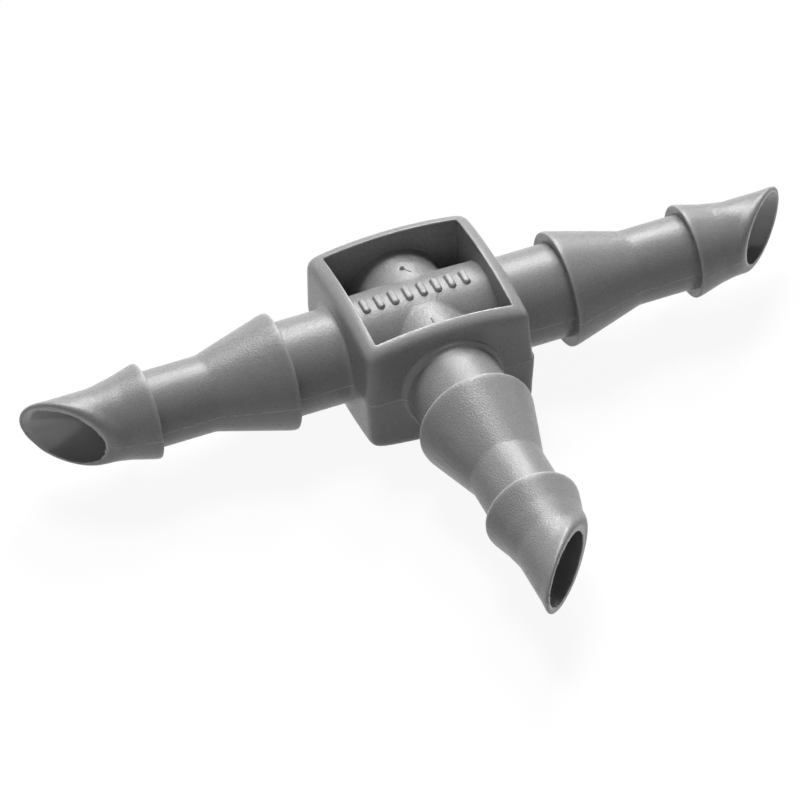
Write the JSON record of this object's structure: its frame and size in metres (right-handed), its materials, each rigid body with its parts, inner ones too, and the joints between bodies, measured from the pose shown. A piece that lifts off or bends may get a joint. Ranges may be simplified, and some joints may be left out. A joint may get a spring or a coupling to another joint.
{
  "type": "drip line tee",
  "caption": "One-piece moulded plastic tee for thin drip hose, with double barbs and slanting tips on three hollow arms round a small open square frame.",
  "frame": {"origin": "where the axis of the run crosses the axis of the branch, in the middle of the square frame", "axes": "+X along the run, -Y along the branch, +Z out of the frame's window"},
  "size_m": [0.0386, 0.0235, 0.0066],
  "materials": {
    "body": "satin moulded plastic with a fine eroded grain"
  },
  "bodies": {
    "root": {"tee": "body"}
  },
  "joints": []
}
